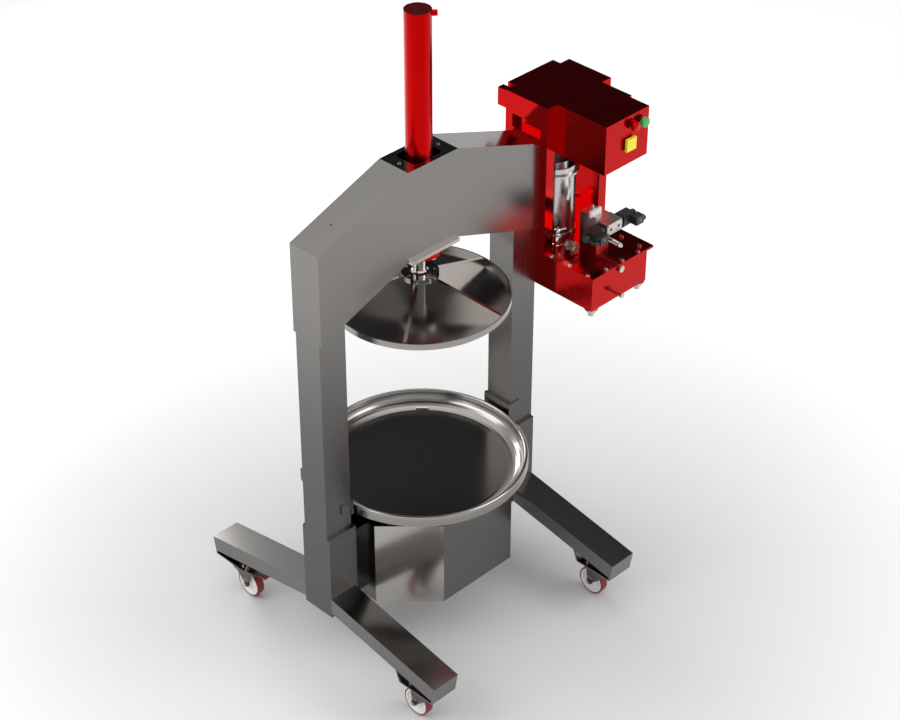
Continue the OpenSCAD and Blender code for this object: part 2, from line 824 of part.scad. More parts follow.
module fork(braked) {
    color("silver") {
        difference() {
            union() {
                for (side = [-1, 1])
                    translate([side > 0 ? fork_in_x : -fork_out_x, 0, 0]) along_x(0, fork_t) {
                        cheek_outline();
                        if (braked) {
                            translate([pedal_pivot_y, pedal_pivot_z]) circle(r = 7);
                            translate([trail, pedal_pivot_z - 7])
                                square([pedal_pivot_y - trail, fork_t + 7]);
                        }
                    }
                span([-fork_out_x, -22, fork_plate_z], [fork_out_x, trail + 16, fork_plate_z + fork_t]);
                translate([0, 0, fork_plate_z]) cylinder(r = race_r, h = crown_h);
            }
            translate([0, 0, fork_plate_z - e]) cylinder(r = king_r + run_gap, h = crown_h + 2 * e);
            if (braked)
                translate([0, pedal_pivot_y - 9, fork_plate_z - e])
                    span([-fork_in_x, 0, 0], [fork_in_x, tube, tube]);
        }
        translate([-fork_out_x, trail, wheel_r]) rotate([0, 90, 0]) cylinder(r = axle_r, h = 2 * fork_out_x);
        for (side = [-1, 1])
            translate([side * (fork_out_x + 3), trail, wheel_r]) rotate([0, 90, 0])
                cylinder(r = 9, h = 6, center = true, $fn = 6);
        if (braked)
            translate([-fork_out_x, pedal_pivot_y, pedal_pivot_z]) rotate([0, 90, 0])
                cylinder(r = pedal_pin_r, h = 2 * fork_out_x);
    }
}

// A nylon core with a tread moulded on it.
module wheel() {
    half = wheel_w / 2;
    color("white") translate([0, trail, wheel_r]) rotate([0, 90, 0]) rotate_extrude($fn = 96)
        difference() {
            polygon([
                [axle_r + run_gap, -fork_in_x + free_gap], [15, -fork_in_x + free_gap], [15, -half + 7],
                [wheel_r - 14, -half + 7], [wheel_r - 12, -half], [wheel_r - 3, -half],
                [wheel_r, -half + 3], [wheel_r, half - 3], [wheel_r - 3, half], [wheel_r - 12, half],
                [wheel_r - 14, half - 7], [15, half - 7], [15, fork_in_x - free_gap],
                [axle_r + run_gap, fork_in_x - free_gap]
            ]);
        }
}

// The pedal turns on a pin between the cheeks; its shoe stops just short of the tread when pressed.
module pedal() {
    half = fork_in_x - 1;
    arm = half - 1;
    color("silver") translate([0, pedal_pivot_y, pedal_pivot_z]) difference() {
        union() {
            along_x(-half, half) circle(r = pedal_pin_r + pedal_t);
            along_x(-arm, arm) rotate(pedal_rise) polygon([
                [2, 0], [pedal_l - pad_l, 0], [pedal_l - pad_l, -4], [pedal_l + 2, -4],
                [pedal_l + 2, 5], [pedal_l - pad_l, 5], [pedal_l - pad_l, pedal_t], [2, pedal_t]
            ]);
            along_x(4 - arm, arm - 4) rotate(180 + shoe_angle + pedal_swing)
                translate([2, -4]) square([shoe_gap_l - 3, 8]);
        }
        along_x(-half - e, half + e) circle(r = pedal_pin_r + run_gap);
    }
}

module front_left_fork() {
    at_castor(-1, -1) fork(false);
}

module front_right_fork() {
    at_castor(1, -1) fork(false);
}

module rear_left_fork() {
    at_castor(-1, 1) fork(true);
}

module rear_right_fork() {
    at_castor(1, 1) fork(true);
}

module front_left_wheel() {
    at_castor(-1, -1) wheel();
}

module front_right_wheel() {
    at_castor(1, -1) wheel();
}

module rear_left_wheel() {
    at_castor(-1, 1) wheel();
}

module rear_right_wheel() {
    at_castor(1, 1) wheel();
}

module rear_left_pedal() {
    at_castor(-1, 1) pedal();
}

module rear_right_pedal() {
    at_castor(1, 1) pedal();
}

// Power unit

module lid_bolt_places() {
    for (x = [half_w + lid_bolt_in, tank_right_x - lid_bolt_in], i = [0 : 2])
        translate([x, -tank_front_y + 26 + i * lid_bolt_pitch, 0]) children();
    for (y = [-tank_front_y + lid_bolt_in, tank_rear_y - lid_bolt_in], i = [-1 : 1])
        translate([half_w + tank_l / 2 + 16 + i * lid_bolt_pitch, y, 0]) children();
}

module tank() {
    flange_w = 18;
    color("firebrick") difference() {
        span([half_w, -tank_front_y, tank_low_z], [tank_right_x, tank_rear_y, lid_low_z]);
        span([half_w + tank_t, -tank_front_y + tank_t, tank_low_z + tank_t],
            [tank_right_x - tank_t, tank_rear_y - tank_t, lid_low_z - tank_t]);
        span([half_w + flange_w, -tank_front_y + flange_w, lid_low_z - tank_t - e],
            [tank_right_x - flange_w, tank_rear_y - flange_w, lid_low_z + e]);
        lid_bolt_places() translate([0, 0, lid_low_z - tank_t - e])
            cylinder(r = lid_bolt_r + bolt_gap, h = tank_t + 2 * e);
        translate([0, -tank_front_y, 0]) tank_plug_places() cylinder(r = 6, h = 4 * tank_t, center = true);
    }
}

module tank_lid() {
    color("firebrick") difference() {
        span([half_w, -lid_front_y, lid_low_z], [half_w + lid_l, lid_rear_y, lid_top_z]);
        lid_bolt_places() translate([0, 0, lid_low_z - e])
            cylinder(r = lid_bolt_r + bolt_gap, h = lid_t + 2 * e);
        translate([unit_x, 0, lid_low_z - e]) cylinder(r = shaft_r + 2, h = lid_t + 2 * e);
    }
}

module lid_bolts() {
    color("silver") lid_bolt_places() translate([0, 0, lid_top_z])
        hex_bolt(lid_bolt_r, lid_t + tank_t, 7.2, 5.5);
}

module tank_feet() {
    color("silver") for (x = [half_w + 19, tank_right_x - 19], y = [-tank_front_y + 17, tank_rear_y - 17])
        translate([x, y, tank_low_z]) mirror([0, 0, 1]) {
            cylinder(r = 22, h = 4);
            cylinder(r = 14.5, h = 17, $fn = 6);
            cylinder(r = 9, h = 27);
        }
}

// Places of the level plug and the drain on the tank's front, with +Z turned to -Y.
module tank_plug_places() {
    for (p = [[half_w + level_x, level_z], [half_w + 105, tank_low_z + 27]])
        translate([p[0], 0, p[1]]) rotate([90, 0, 0]) children();
}

module tank_plugs() {
    color("silver") translate([0, -tank_front_y, 0]) {
        tank_plug_places() translate([0, 0, -tank_t]) cylinder(r = 6, h = tank_t + 8);
        translate([half_w + level_x, 0, level_z]) rotate([90, 0, 0])
            translate([0, 0, 3]) cylinder(r = 12, h = 7, $fn = 6);
        translate([half_w + 105, 0, tank_low_z + 27]) rotate([90, 0, 0]) {
            cylinder(r = 6, h = 26);
            translate([0, 0, 25]) cylinder(r = 9, h = 9);
        }
    }
}

// A column's channel from z0 to z1; its web faces away from the motor.
module channel(z0, z1) {
    translate([unit_x, 0, 0]) both_sides() difference() {
        span([lid_l / 2 - column_d, -column_y, z0], [lid_l / 2, column_y, z1]);
        span([lid_l / 2 - column_d - e, -column_y + cover_t, z0 - e],
            [lid_l / 2 - cover_t, column_y - cover_t, z1 + e]);
    }
}

module columns() {
    color("firebrick") channel(lid_top_z, seam_z);
}

module hood() {
    tab_x = 24;
    slot_y = 58;
    slot_low_z = hood_top_z - 114;
    slot_h = 45;
    slot_d = 24;
    color("firebrick") {
        difference() {
            union() {
                channel(seam_z, hood_top_z - e);
                span([unit_x - hood_x, -hood_front_y, hood_low_z], [unit_x + hood_x, hood_rear_y, hood_top_z]);
                span([half_w, -column_y, hood_top_z - cover_t], [half_w + lid_l, column_y, hood_top_z]);
                translate([unit_x, 0, 0]) both_sides() for (y = [-column_y, column_y - cover_t])
                    span([hood_x - cover_t, y, hood_low_z], [lid_l / 2 - column_d + e, y + cover_t, hood_top_z - e]);
            }
            span([unit_x - hood_x + cover_t, -hood_front_y + cover_t, hood_low_z - e],
                [unit_x + hood_x - cover_t, hood_rear_y - cover_t, hood_top_z - cover_t]);
            span([half_w + cover_t, -column_y + cover_t, seam_z - e],
                [half_w + lid_l - cover_t, column_y - cover_t, hood_top_z - cover_t]);
            span([half_w - e, -slot_y, slot_low_z], [half_w + column_d, slot_y, slot_low_z + slot_h]);
            contact_places() translate([0, 0, -cover_t - e]) cylinder(r = button_stem_r, h = 3 * cover_t);
        }
        difference() {
            span([half_w, -slot_y - cover_t, slot_low_z - cover_t],
                [half_w + slot_d, slot_y + cover_t, slot_low_z + slot_h + cover_t]);
            span([half_w - e, -slot_y, slot_low_z],
                [half_w + slot_d - cover_t, slot_y, slot_low_z + slot_h]);
        }
        difference() {
            span([half_w, column_y, hood_top_z - 62], [half_w + tab_x, column_y + column_d, hood_top_z - 3]);
            span([half_w + cover_t, column_y - e, hood_top_z - 62 - e],
                [half_w + tab_x - cover_t, column_y + column_d - cover_t, hood_top_z - 3 - cover_t]);
        }
    }
}

// Middle of each button and of the switch on the control cover, with +Z turned to -Y.
module control_place(x, z) {
    translate([x, control_face_y, z]) rotate([90, 0, 0]) children();
}

module contact_places() {
    translate([0, -hood_front_y, 0])
        for (p = [[green_x, green_z], [red_x, red_z], [switch_x, switch_z]])
            translate([p[0], 0, p[1]]) rotate([90, 0, 0]) children();
}

module control_body(grow, z0, z1) {
    x0 = control_x0 - grow;
    x1 = control_x0 + control_l + grow;
    y0 = control_face_y - grow;
    r = control_r + grow;
    translate([x0 + r, y0 + r, z0]) cylinder(r = r, h = z1 - z0);
    translate([x1 - r, y0 + r, z0]) cylinder(r = r, h = z1 - z0);
    span([x0, y0 + r, z0], [x1, -hood_front_y, z1]);
    span([x0 + r, y0, z0], [x1 - r, -hood_front_y, z1]);
}

module control_cover() {
    color("firebrick") difference() {
        union() {
            control_body(0, hood_low_z, hood_top_z);
            control_place(green_x, green_z) cylinder(r = button_r - 3, h = collar_t);
            control_place(red_x, red_z) cylinder(r = button_r - 3, h = collar_t);
        }
        intersection() {
            control_body(-cover_t, hood_low_z + cover_t, hood_top_z - cover_t);
            span([control_x0, control_face_y, hood_low_z], [unit_x + hood_x, -hood_front_y + e, hood_top_z]);
        }
        for (p = [[green_x, green_z], [red_x, red_z], [switch_x, switch_z]])
            control_place(p[0], p[1]) translate([0, 0, -2 * cover_t])
                cylinder(r = button_stem_r + run_gap, h = 2 * cover_t + collar_t + e);
    }
}

// Contact blocks behind the cover, each with a pocket for the stem.
module contact_blocks() {
    color("dimgray") for (p = [[green_x, green_z], [red_x, red_z], [switch_x, switch_z]])
        control_place(p[0], p[1]) difference() {
            translate([0, 0, -cover_t - block_l / 2]) cube([28, 28, block_l], center = true);
            translate([0, 0, -cover_t - block_l + 6]) cylinder(r = button_stem_r + free_gap, h = block_l);
        }
}

module button(x, z) {
    back = control_face_y - button_back_y;
    control_place(x, z) {
        translate([0, 0, back]) rotate_extrude() polygon([
            [0, 0], [button_r, 0], [button_r, button_head_t - 3],
            [button_r - 3, button_head_t], [0, button_head_t]
        ]);
        translate([0, 0, -cover_t - block_l / 2]) cylinder(r = button_stem_r, h = cover_t + block_l / 2 + back);
    }
}

module green_button() {
    color("seagreen") button(green_x, green_z);
}

module red_button() {
    color("red") button(red_x, red_z);
}

module main_switch() {
    back = button_travel + button_gap - 1;
    color("gold") control_place(switch_x, switch_z) {
        translate([0, 0, back + switch_t / 2]) cube([switch_side, switch_side, switch_t], center = true);
        translate([0, 0, -cover_t - block_l / 2]) cylinder(r = button_stem_r, h = cover_t + block_l / 2 + back);
    }
}

module motor_body() {
    ring_r = motor_r + 8;
    rotor_gap = 1;
    color("silver") translate([unit_x, 0, lid_top_z]) difference() {
        union() {
            cylinder(r = motor_r + 4, h = 10);
            cylinder(r = motor_r, h = motor_h);
            translate([0, 0, motor_h - 27]) cylinder(r = ring_r, h = 6);
            cylinder(r = 41, h = motor_h + 12);
        }
        translate([0, 0, 40]) cylinder(r = rotor_r + rotor_gap, h = motor_h - 80);
        translate([0, 0, -e]) cylinder(r = shaft_r + run_gap, h = motor_h - 10);
    }
}

module motor_rotor() {
    color("gray") translate([unit_x, 0, 0]) {
        translate([0, 0, lid_top_z + 46]) cylinder(r = rotor_r, h = motor_h - 92);
        translate([0, 0, gear_z - gear_w]) cylinder(r = shaft_r, h = motor_top_z - 15 - gear_z + gear_w);
    }
}

// Toothed disc with a tooth on its +Y side, turned by turn degrees.
module gear(turn) {
    half_root = 0.30 * PI * gear_module;
    half_pitch = 0.21 * PI * gear_module;
    half_tip = 0.10 * PI * gear_module;
    rotate([0, 0, turn]) {
        cylinder(r = gear_root_r, h = gear_w);
        for (i = [0 : gear_teeth - 1]) rotate([0, 0, i * 360 / gear_teeth]) linear_extrude(gear_w)
            polygon([
                [-half_root, gear_root_r - 2], [half_root, gear_root_r - 2], [half_root, gear_root_r],
                [half_pitch, gear_r], [half_tip, gear_tip_r], [-half_tip, gear_tip_r],
                [-half_pitch, gear_r], [-half_root, gear_root_r]
            ]);
    }
}

module drive_gear() {
    color("silver") translate([unit_x, 0, gear_z - gear_w / 2]) difference() {
        gear(0);
        translate([0, 0, -e]) cylinder(r = shaft_r, h = gear_w + 2 * e);
    }
}

module driven_gear() {
    stub = 14;
    color("silver") translate([unit_x, gear_c, gear_z - gear_w / 2]) {
        gear(180 + 180 / gear_teeth);
        translate([0, 0, -stub]) cylinder(r = shaft_r, h = gear_w + 2 * stub);
    }
}

module pump_body() {
    wall = 16;
    chamber_r = gear_tip_r + 0.4;
    chamber_h = gear_w + 2 * free_gap;
    color("gray") difference() {
        span([unit_x - chamber_r - wall, -chamber_r - wall, pump_low_z],
            [unit_x + chamber_r + wall, gear_c + chamber_r + 6, lid_low_z]);
        for (y = [0, gear_c]) translate([unit_x, y, gear_z - chamber_h / 2])
            cylinder(r = chamber_r, h = chamber_h);
        translate([unit_x, 0, gear_z - gear_w - 1]) cylinder(r = shaft_r + run_gap, h = tube);
        translate([unit_x, gear_c, gear_z - gear_w / 2 - 15])
            cylinder(r = shaft_r + run_gap, h = gear_w + 30);
    }
}

module manifold() {
    color("silver") {
        span([manifold_x0, -manifold_y0, lid_top_z], [manifold_x1, -manifold_y1, manifold_top_z]);
        translate([manifold_x1 - 16, -manifold_y1 - 15, manifold_top_z - e]) {
            cylinder(r = 7, h = 5);
            cylinder(r = 4, h = 12);
        }
    }
}

module valve_block() {
    color("silver") difference() {
        span([valve_x0, -valve_y0, valve_low_z], [valve_x1, -valve_y0 + valve_d, manifold_top_z]);
        translate([valve_x0 - e, -valve_axis_y, valve_axis_z]) rotate([0, 90, 0])
            cylinder(r = spool_r + run_gap, h = valve_l + 2 * e);
        for (side = [-1, 1])
            translate([manifold_x + side * 18, -valve_y0 + valve_port_d, valve_low_z + valve_h / 2])
                rotate([90, 0, 0]) cylinder(r = valve_port_r, h = valve_port_d + e);
    }
}

module valve_spool() {
    land = 13;
    half = valve_l / 2 - spool_travel - 1;
    color("silver") translate([manifold_x, -valve_axis_y, valve_axis_z]) rotate([0, 90, 0]) {
        translate([0, 0, -half]) cylinder(r = 3.5, h = 2 * half);
        for (z = [-half, -land / 2, half - land]) translate([0, 0, z]) cylinder(r = spool_r, h = land);
    }
}

// A coil on its tube, with the nut at the free end; x0 is the valve's side face.
module solenoid(x0, side, gap) {
    translate([x0, -valve_axis_y, valve_axis_z]) mirror([side < 0 ? 1 : 0, 0, 0]) {
        rotate([0, 90, 0]) cylinder(r = 11, h = gap + coil_l + 8);
        translate([0, -coil_side / 2, -coil_side / 2]) {
            cube([min(gap, 6), coil_side, coil_side]);
            translate([gap, 0, 0]) cube([coil_l, coil_side, coil_side]);
        }
        translate([gap + coil_l, 0, 0]) rotate([0, 90, 0]) cylinder(r = 13, h = 20);
    }
}

module solenoids() {
    color("dimgray") {
        solenoid(valve_x0, -1, coil_gap_left);
        solenoid(valve_x1, 1, coil_gap_right);
    }
}

module coil_connector(x0, side, gap, plug_in) {
    y0 = -valve_axis_y - coil_side / 2;
    translate([x0, y0, valve_axis_z]) mirror([side < 0 ? 1 : 0, 0, 0]) {
        translate([gap + plug_in, -plug_side, -15]) cube([plug_l, plug_side, plug_side]);
        translate([gap + plug_in + plug_l, -16, -plug_gland_drop + 1]) rotate([0, 90, 0]) cylinder(r = 8, h = plug_gland_l);
    }
}

module coil_connectors() {
    color("dimgray") {
        coil_connector(valve_x0, -1, coil_gap_left, plug_in_left);
        coil_connector(valve_x1, 1, coil_gap_right, plug_in_right);
    }
}

module relief_valve() {
    color("silver") translate([unit_x + 13, -manifold_y0, lid_top_z + 43]) rotate([90, 0, 0]) {
        cylinder(r = 11, h = 10, $fn = 6);
        cylinder(r = 8.5, h = relief_l);
        cylinder(r = 5, h = relief_l + 3);
    }
}

module pressure_fitting() {
    color("silver") translate([half_w + 72, -157, lid_top_z + 19]) rotate([-90, 0, 0]) {
        cylinder(r = 18, h = 30, $fn = 6);
        translate([0, 0, 29]) cylinder(r = 14, h = 15);
        translate([0, 6, 22]) rotate([0, -90, 0]) cylinder(r = 5, h = 24);
        translate([0, 0, 15]) rotate([-90, 0, 0]) cylinder(r = 12, h = 19);
    }
}

module breather() {
    color("silver") translate([half_w + 67, -80, lid_top_z]) {
        cylinder(r = 12, h = 10);
        translate([0, 0, 9]) cylinder(r = 14, h = 35);
        translate([0, 0, 54]) {
            sphere(r = 11);
            rotate([0, 80, -30]) cylinder(r = 4.5, h = 28);
        }
    }
}

uprights();
foot_sleeves();
legs();
castor_brackets();
castor_plates();
frame_bolts();
head_front_plate();
head_rear_plate();
head_roof();
casing();
casing_brackets();
tray_clips();
mounting_plate();
barrel();
barrel_cap();
cylinder_gland();
oil_ports();
piston();
piston_rod();
rod_disc();
disc_bolts();
hub();
press_dish();
press_ribs();
tray();
front_left_fork();
front_right_fork();
rear_left_fork();
rear_right_fork();
front_left_wheel();
front_right_wheel();
rear_left_wheel();
rear_right_wheel();
rear_left_pedal();
rear_right_pedal();
tank();
tank_lid();
lid_bolts();
tank_feet();
tank_plugs();
columns();
hood();
control_cover();
contact_blocks();
green_button();
red_button();
main_switch();
motor_body();
motor_rotor();
pump_body();
drive_gear();
driven_gear();
manifold();
valve_block();
valve_spool();
solenoids();
coil_connectors();
relief_valve();
pressure_fitting();
breather();
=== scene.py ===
import math

import bmesh
import bpy
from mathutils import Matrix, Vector


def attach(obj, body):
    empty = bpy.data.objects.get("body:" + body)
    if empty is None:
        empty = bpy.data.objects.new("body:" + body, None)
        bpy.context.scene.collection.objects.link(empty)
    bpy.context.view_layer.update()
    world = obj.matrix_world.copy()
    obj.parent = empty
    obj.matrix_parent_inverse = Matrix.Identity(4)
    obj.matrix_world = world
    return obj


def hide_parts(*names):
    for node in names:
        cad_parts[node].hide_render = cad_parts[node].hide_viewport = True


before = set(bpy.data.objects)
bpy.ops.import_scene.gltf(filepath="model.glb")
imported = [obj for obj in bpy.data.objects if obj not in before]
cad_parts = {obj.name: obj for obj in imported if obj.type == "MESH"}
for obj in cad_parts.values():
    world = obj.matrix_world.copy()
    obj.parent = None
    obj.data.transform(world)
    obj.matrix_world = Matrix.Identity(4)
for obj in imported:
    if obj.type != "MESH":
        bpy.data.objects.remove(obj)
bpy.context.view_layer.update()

# The two uprights are 100 mm square tubes of stainless steel with a fine satin grind along their
# length. They are cut square at the head and stand in the foot sleeves. From the height of the
# press plate upwards their colour is painted lighter, like the head's: a painted reflection of the
# bright floor further out, while lower down the steel mirrors the shaded floor near the press.
MM = 0.001
STEEL_TONE = (0.128, 0.123, 0.118, 1)
PAINTED_HIGH_TONE = (0.205, 0.197, 0.189, 1)
PAINTED_SHADE_BELOW, PAINTED_LIGHT_ABOVE = 0.75, 1.5


def new_material(name, tone, metal, rough):
    """A material of one tone and its surface, to which the detail is added."""
    made = bpy.data.materials.new(name)
    made.use_nodes = True
    surface = made.node_tree.nodes["Principled BSDF"]
    surface.inputs["Base Color"].default_value = tone
    surface.inputs["Metallic"].default_value = metal
    surface.inputs["Roughness"].default_value = rough
    return made, surface


def grain(made, scale, detail=3):
    """Noise laid in the piece's own coordinates, with one scale for each axis."""
    place = made.node_tree.nodes.new("ShaderNodeTexCoord")
    stretch = made.node_tree.nodes.new("ShaderNodeMapping")
    stretch.inputs["Scale"].default_value = scale
    noise = made.node_tree.nodes.new("ShaderNodeTexNoise")
    noise.inputs["Scale"].default_value = 1
    noise.inputs["Detail"].default_value = detail
    made.node_tree.links.new(place.outputs["Object"], stretch.inputs["Vector"])
    made.node_tree.links.new(stretch.outputs["Vector"], noise.inputs["Vector"])
    return noise


def spread(made, source, low, high, socket):
    """Carries a noise, between two values, into a socket of the surface."""
    reach = made.node_tree.nodes.new("ShaderNodeMapRange")
    for key, value in (("From Min", 0.3), ("From Max", 0.7), ("To Min", low), ("To Max", high)):
        reach.inputs[key].default_value = value
    made.node_tree.links.new(source.outputs[0], reach.inputs["Value"])
    made.node_tree.links.new(reach.outputs["Result"], socket)


def tint(made, source, tone, depth, socket):
    """Carries a noise into a colour socket, a little darker and a little lighter than the tone."""
    ramp = made.node_tree.nodes.new("ShaderNodeValToRGB")
    for stop, place, factor in zip(ramp.color_ramp.elements, (0.3, 0.7), (1 - depth, 1 + depth)):
        stop.position = place
        stop.color = tuple(c * factor for c in tone[:3]) + (1,)
    made.node_tree.links.new(source.outputs[0], ramp.inputs["Fac"])
    made.node_tree.links.new(ramp.outputs["Color"], socket)


def relief(made, surface, source, height, distance):
    """Lets a noise stand out from the surface a little."""
    bump = made.node_tree.nodes.new("ShaderNodeBump")
    bump.inputs["Strength"].default_value = height
    bump.inputs["Distance"].default_value = distance
    made.node_tree.links.new(source.outputs[0], bump.inputs["Height"])
    made.node_tree.links.new(bump.outputs["Normal"], surface.inputs["Normal"])


def paint_reflection_upwards(made, surface, painted_high_tone):
    """Paints a lighter colour higher up on the press: a painted reflection, since lower down the steel
    mirrors the shaded floor near the press.
    """
    place = made.node_tree.nodes.new("ShaderNodeTexCoord")
    parts = made.node_tree.nodes.new("ShaderNodeSeparateXYZ")
    height = made.node_tree.nodes.new("ShaderNodeMapRange")
    height.interpolation_type = "SMOOTHSTEP"
    height.inputs["From Min"].default_value = PAINTED_SHADE_BELOW
    height.inputs["From Max"].default_value = PAINTED_LIGHT_ABOVE
    lighter = made.node_tree.nodes.new("ShaderNodeMix")
    lighter.data_type = "RGBA"
    low, high = [end for end in lighter.inputs if end.type == "RGBA"]
    mixed = [end for end in lighter.outputs if end.type == "RGBA"][0]
    high.default_value = painted_high_tone
    link = made.node_tree.links.new
    link(place.outputs["Object"], parts.inputs["Vector"])
    link(parts.outputs["Z"], height.inputs["Value"])
    link(height.outputs["Result"], lighter.inputs["Factor"])
    link(surface.inputs["Base Color"].links[0].from_socket, low)
    link(mixed, surface.inputs["Base Color"])


def satin(name, along, rough=0.27, tone=STEEL_TONE, painted_high_tone=None):
    """Stainless sheet with a fine satin grind that runs along one axis."""
    made, surface = new_material(name, tone, 1.0, rough)
    scale = [900.0] * 3
    scale["XYZ".index(along)] = 12.0
    scratches = grain(made, scale, 2)
    spread(made, scratches, rough - 0.01, rough + 0.015, surface.inputs["Roughness"])
    tint(made, scratches, tone, 0.02, surface.inputs["Base Color"])
    relief(made, surface, scratches, 0.002, 0.0001)
    # A painted high tone paints a lighter reflection higher up on the press.
    if painted_high_tone:
        paint_reflection_upwards(made, surface, painted_high_tone)
    return made


def dress(name, made, edge=0.0, steps=2, smooth=30.0):
    """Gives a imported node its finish, and breaks its sharp edges by that many millimetres."""
    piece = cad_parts[name]
    piece.data.materials.clear()
    piece.data.materials.append(made)
    for face in piece.data.polygons:
        face.use_smooth = True
    piece.data.set_sharp_from_angle(angle=math.radians(smooth))
    if edge:
        flat = piece.modifiers.new("join flats", "DECIMATE")
        flat.decimate_type = "DISSOLVE"
        flat.angle_limit = math.radians(0.6)
        broken = piece.modifiers.new("broken edges", "BEVEL")
        broken.width = edge * MM
        broken.segments = steps
        broken.limit_method = "ANGLE"
        broken.angle_limit = math.radians(35)
        broken.use_clamp_overlap = False
        broken.harden_normals = True
    return piece


upright_steel = satin("satin_upright", "Z", painted_high_tone=PAINTED_HIGH_TONE)
dress("uprights", upright_steel, 1.2)

# The foot sleeves are bent sheets wrapped round the feet of the uprights, welded at their edges.
# Their rims are filed to a flat chamfer.
filed = dress("foot_sleeves", upright_steel, 3.6, 1).modifiers["broken edges"]
filed.harden_normals = False
filed.mark_sharp = True

# The legs are upturned channels bent from sheet and welded to the sleeves, with closed ends.
# A bent bracket under each end carries its castor.
leg_steel = satin("satin_leg", "Y", 0.16, (0.22, 0.211, 0.203, 1))
dress("legs", leg_steel, 1.0)
dress("castor_brackets", leg_steel, 0.4)

# The head is two plates cut to one outline, with the roof sheet bent over their shoulders and
# held by small screws. The plates are ground along the beam.
# The head's plates and roof take the same painted reflection, lighter higher up.
head_steel = satin("satin_head", "X", 0.26, painted_high_tone=PAINTED_HIGH_TONE)
dress("head_front_plate", head_steel, 0.6)
dress("head_rear_plate", head_steel, 0.6)
dress("head_roof", satin("satin_roof", "Y", 0.16, painted_high_tone=PAINTED_HIGH_TONE), 0.3)

# The castors: pressed zinc-plated plates with ball races, forks with a bolted axle, and wheels
# with a white moulded core and a red tread cast round it.
ZINC_TONE = (0.155, 0.15, 0.145, 1)
zinc, zinc_surface = new_material("plated_zinc", ZINC_TONE, 1.0, 0.36)
plating = grain(zinc, (160, 160, 160), 3)
tint(zinc, plating, ZINC_TONE, 0.25, zinc_surface.inputs["Base Color"])
spread(zinc, plating, 0.28, 0.44, zinc_surface.inputs["Roughness"])
dress("castor_plates", zinc, 0.4)


class Work:
    """One piece in the making. Sizes are in millimetres, and turned forms take a finish number."""

    def __init__(self):
        self.mesh = bmesh.new()

    def form(self, points, rings, finish=0):
        """Adds points and the faces between them."""
        made = [self.mesh.verts.new(Vector(p) * MM) for p in points]
        for ring in rings:
            self.mesh.faces.new([made[i] for i in ring]).material_index = finish

    def spin(self, outline, at, along=(0, 0, 1), steps=48, finish=0, closed=False):
        """Turns an outline of (radius, height) about an axis; an open one gets flat ends."""
        turn = Vector(along).to_track_quat("Z", "Y").to_matrix()
        n = len(outline)
        points = []
        for i in range(steps):
            a = 2 * math.pi * i / steps
            points += [turn @ Vector((r * math.cos(a), r * math.sin(a), h)) + Vector(at) for r, h in outline]
        rings = []
        for i in range(steps):
            j = (i + 1) % steps
            for k in range(n if closed else n - 1):
                m = (k + 1) % n
                rings.append((i * n + k, j * n + k, j * n + m, i * n + m))
        if not closed:
            rings.append([i * n for i in reversed(range(steps))])
            rings.append([i * n + n - 1 for i in range(steps)])
        self.form(points, rings, finish)

    def block(self, lo, hi):
        """A block between two corners, with sharp edges."""
        points = [(x, y, z) for x in (lo[0], hi[0]) for y in (lo[1], hi[1]) for z in (lo[2], hi[2])]
        rings = [(0, 1, 3, 2), (4, 6, 7, 5), (0, 4, 5, 1), (2, 3, 7, 6), (0, 2, 6, 4), (1, 5, 7, 3)]
        self.form(points, rings)

    def hex_head(self, at, along, across, height, finish=0):
        """A hexagon head with its corners turned off."""
        r = across / math.sqrt(3)
        sides = [(r * 0.86, 0), (r, height * 0.12), (r, height * 0.75), (r * 0.86, height)]
        self.spin(sides, at, along, 6, finish)

    def put(self, name, finishes, body, replaced=()):
        """Ends the piece: it gets its finishes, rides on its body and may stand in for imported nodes."""
        bmesh.ops.recalc_face_normals(self.mesh, faces=self.mesh.faces)
        mesh = bpy.data.meshes.new(name)
        self.mesh.to_mesh(mesh)
        self.mesh.free()
        for made in finishes:
            mesh.materials.append(made)
        for face in mesh.polygons:
            face.use_smooth = True
        mesh.set_sharp_from_angle(angle=math.radians(32))
        piece = bpy.data.objects.new(name, mesh)
        bpy.context.scene.collection.objects.link(piece)
        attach(piece, body)
        if replaced:
            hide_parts(*replaced)
        return piece


core_white, core_surface = new_material("moulded_core", (0.72, 0.72, 0.70, 1), 0.0, 0.22)
core_surface.inputs["Subsurface Weight"].default_value = 0.08
core_surface.inputs["Subsurface Scale"].default_value = 0.004
spread(core_white, grain(core_white, (60, 60, 60)), 0.18, 0.3, core_surface.inputs["Roughness"])
tread_red, tread_surface = new_material("cast_tread", (0.20, 0.012, 0.016, 1), 0.0, 0.3)
spread(tread_red, grain(tread_red, (120, 120, 120)), 0.25, 0.42, tread_surface.inputs["Roughness"])
bolt_steel, bolt_surface = new_material("bolt_steel", (0.50, 0.48, 0.45, 1), 1.0, 0.22)
spread(bolt_steel, grain(bolt_steel, (300, 300, 300)), 0.16, 0.3, bolt_surface.inputs["Roughness"])

